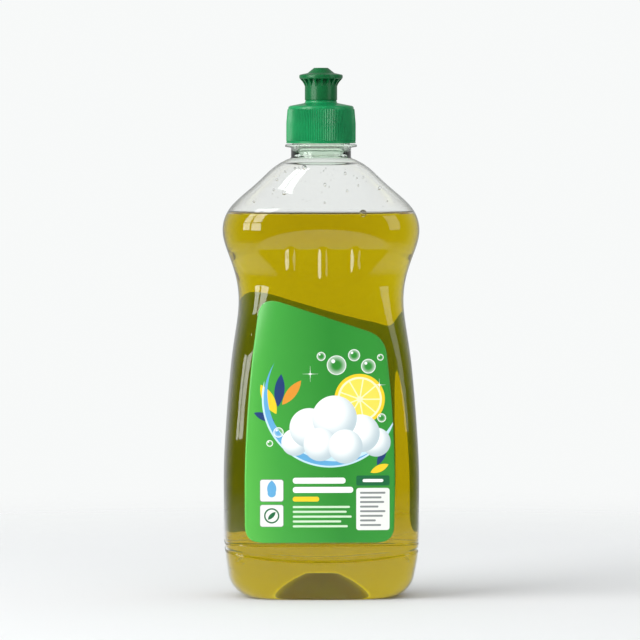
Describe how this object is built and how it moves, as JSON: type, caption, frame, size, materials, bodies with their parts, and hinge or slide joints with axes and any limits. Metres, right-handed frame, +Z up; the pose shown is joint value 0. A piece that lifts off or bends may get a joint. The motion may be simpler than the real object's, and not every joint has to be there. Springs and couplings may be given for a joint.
{
  "type": "dish soap bottle",
  "caption": "Clear waisted squeeze bottle of yellow-green dish soap with front and back film labels, a ribbed thumb grip, a knurled green screw cap and a push-pull nozzle.",
  "frame": {"origin": "on the floor, under the middle of the neck", "axes": "+Z up the bottle through the neck and nozzle, +X across the front to the viewer's right, the front faces -Y"},
  "size_m": [0.0904, 0.0608, 0.243],
  "materials": {
    "clear_plastic": "clear blown plastic, smooth",
    "soap": "clear yellow-green liquid",
    "label_film": "printed film, satin",
    "cap_green": "moulded plastic, semi-gloss",
    "nozzle_green": "moulded plastic, semi-gloss"
  },
  "bodies": {
    "bottle": {"bottle": "clear_plastic", "dish_soap": "soap", "front_label": "label_film", "back_label": "label_film"},
    "cap": {"screw_cap": "cap_green"},
    "nozzle": {"push_pull_nozzle": "nozzle_green"}
  },
  "joints": [
    {"name": "cap_turn", "type": "hinge", "parent": "bottle", "child": "cap", "pos_m": [0, 0, 0.216], "axis": [0, 0, 1], "range_deg": [0, 540]},
    {"name": "nozzle_pull", "type": "slide", "parent": "cap", "child": "nozzle", "axis": [0, 0, 1], "range_m": [0, 0.006]}
  ]
}
